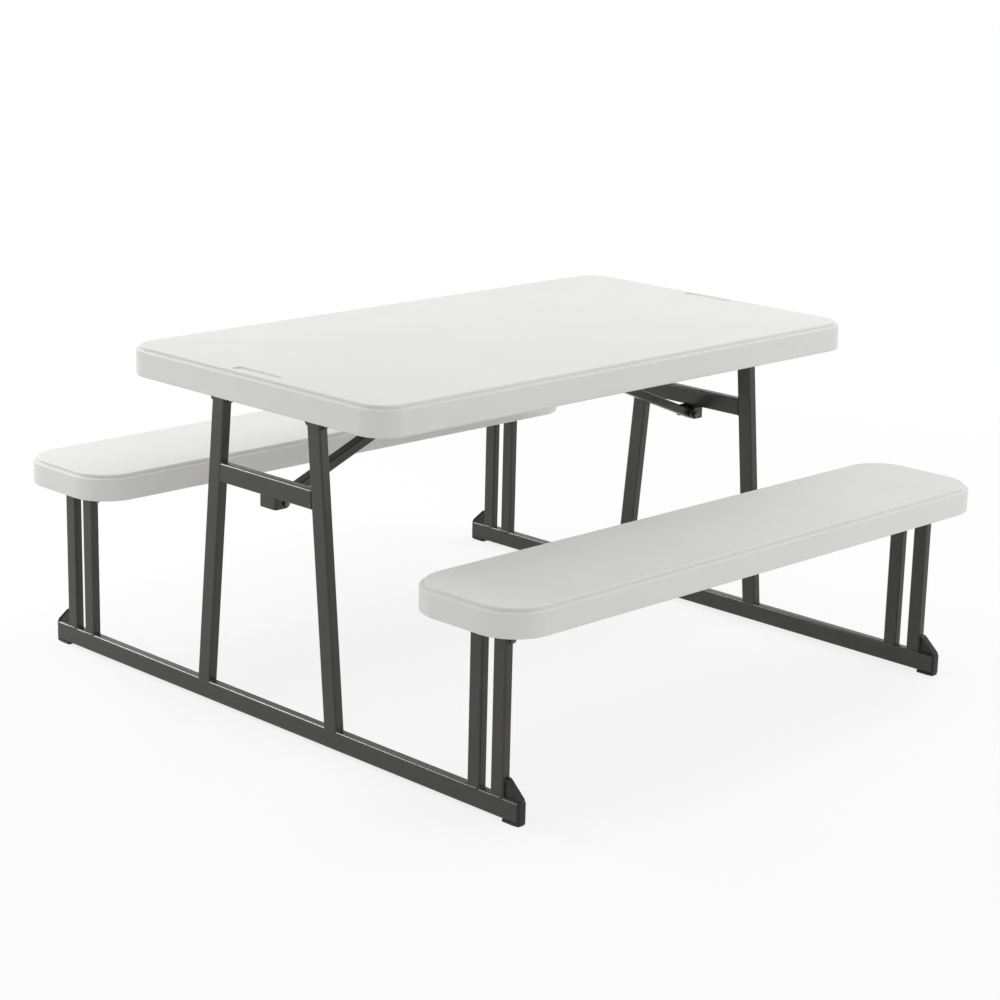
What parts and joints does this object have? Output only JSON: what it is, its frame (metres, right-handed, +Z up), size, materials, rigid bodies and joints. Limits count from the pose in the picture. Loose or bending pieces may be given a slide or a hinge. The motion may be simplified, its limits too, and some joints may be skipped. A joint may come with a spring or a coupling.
{
  "type": "folding table with benches",
  "caption": "Folding table with a moulded top and attached moulded benches on welded steel end frames that swing flat under the top.",
  "frame": {"origin": "on the floor under the middle of the table", "axes": "+X along the table towards the right end, +Y across it towards the rear bench, +Z up"},
  "size_m": [1.448, 1.535, 0.737],
  "materials": {
    "moulded_plastic": "pale grey-white blow-moulded polyethylene with a fine pebble texture",
    "frame_steel": "dark grey powder coat",
    "foot_plastic": "black moulded plastic",
    "bush_nylon": "black nylon",
    "fastener_steel": "zinc plated"
  },
  "bodies": {
    "table": {"table_top": "moulded_plastic", "front_table_rail": "frame_steel", "rear_table_rail": "frame_steel", "table_rail_screws": "fastener_steel", "left_hinge_brackets": "frame_steel", "right_hinge_brackets": "frame_steel", "hinge_bracket_screws": "fastener_steel", "left_hinge_bolts": "fastener_steel", "right_hinge_bolts": "fastener_steel", "brace_catch": "frame_steel", "catch_screws": "fastener_steel"},
    "left_frame": {"left_floor_rail": "frame_steel", "left_front_leg": "frame_steel", "left_rear_leg": "frame_steel", "left_crossbar": "frame_steel", "left_front_bench_legs": "frame_steel", "left_rear_bench_legs": "frame_steel", "left_front_foot": "foot_plastic", "left_rear_foot": "foot_plastic", "left_brace_bracket": "frame_steel", "left_brace_bolt": "fastener_steel"},
    "left_brace_arm": {"left_brace": "frame_steel", "left_brace_tip": "foot_plastic", "left_brace_bushes": "bush_nylon"},
    "right_frame": {"right_floor_rail": "frame_steel", "right_front_leg": "frame_steel", "right_rear_leg": "frame_steel", "right_crossbar": "frame_steel", "right_front_bench_legs": "frame_steel", "right_rear_bench_legs": "frame_steel", "right_front_foot": "foot_plastic", "right_rear_foot": "foot_plastic", "right_brace_bracket": "frame_steel", "right_brace_bolt": "fastener_steel"},
    "right_brace_arm": {"right_brace": "frame_steel", "right_brace_tip": "foot_plastic", "right_brace_bushes": "bush_nylon"},
    "front_bench": {"front_seat": "moulded_plastic", "front_seat_rails": "frame_steel", "front_seat_brackets": "frame_steel", "front_seat_bolts": "fastener_steel", "front_seat_screws": "fastener_steel"},
    "rear_bench": {"rear_seat": "moulded_plastic", "rear_seat_rails": "frame_steel", "rear_seat_brackets": "frame_steel", "rear_seat_bolts": "fastener_steel", "rear_seat_screws": "fastener_steel"}
  },
  "joints": [
    {"name": "left_frame_fold", "type": "hinge", "parent": "table", "child": "left_frame", "pos_m": [-0.647, 0, 0.658], "axis": [0, -1, 0], "range_deg": [0, 90]},
    {"name": "right_frame_fold", "type": "hinge", "parent": "table", "child": "right_frame", "pos_m": [0.647, 0, 0.658], "axis": [0, -1, 0], "range_deg": [0, 90]},
    {"name": "front_bench_swing", "type": "hinge", "parent": "left_frame", "child": "front_bench", "pos_m": [-0.647, -0.637, 0.354], "axis": [0, -1, 0], "range_deg": [-90, 0]},
    {"name": "rear_bench_swing", "type": "hinge", "parent": "left_frame", "child": "rear_bench", "pos_m": [-0.647, 0.637, 0.354], "axis": [0, -1, 0], "range_deg": [-90, 0]},
    {"name": "left_brace_swing", "type": "hinge", "parent": "left_frame", "child": "left_brace_arm", "pos_m": [-0.623, 0, 0.468], "axis": [0, -1, 0], "range_deg": [-111.9, 0]},
    {"name": "right_brace_swing", "type": "hinge", "parent": "right_frame", "child": "right_brace_arm", "pos_m": [0.623, 0, 0.468], "axis": [0, -1, 0], "range_deg": [-69.2, 0]}
  ],
  "couplings": [
    {"joint": "right_frame_fold", "follows": "left_frame_fold", "ratio": 1},
    {"joint": "front_bench_swing", "follows": "left_frame_fold", "ratio": -1},
    {"joint": "rear_bench_swing", "follows": "left_frame_fold", "ratio": -1},
    {"joint": "left_brace_swing", "follows": "left_frame_fold", "ratio": -1.2424},
    {"joint": "right_brace_swing", "follows": "left_frame_fold", "ratio": -0.76757}
  ]
}
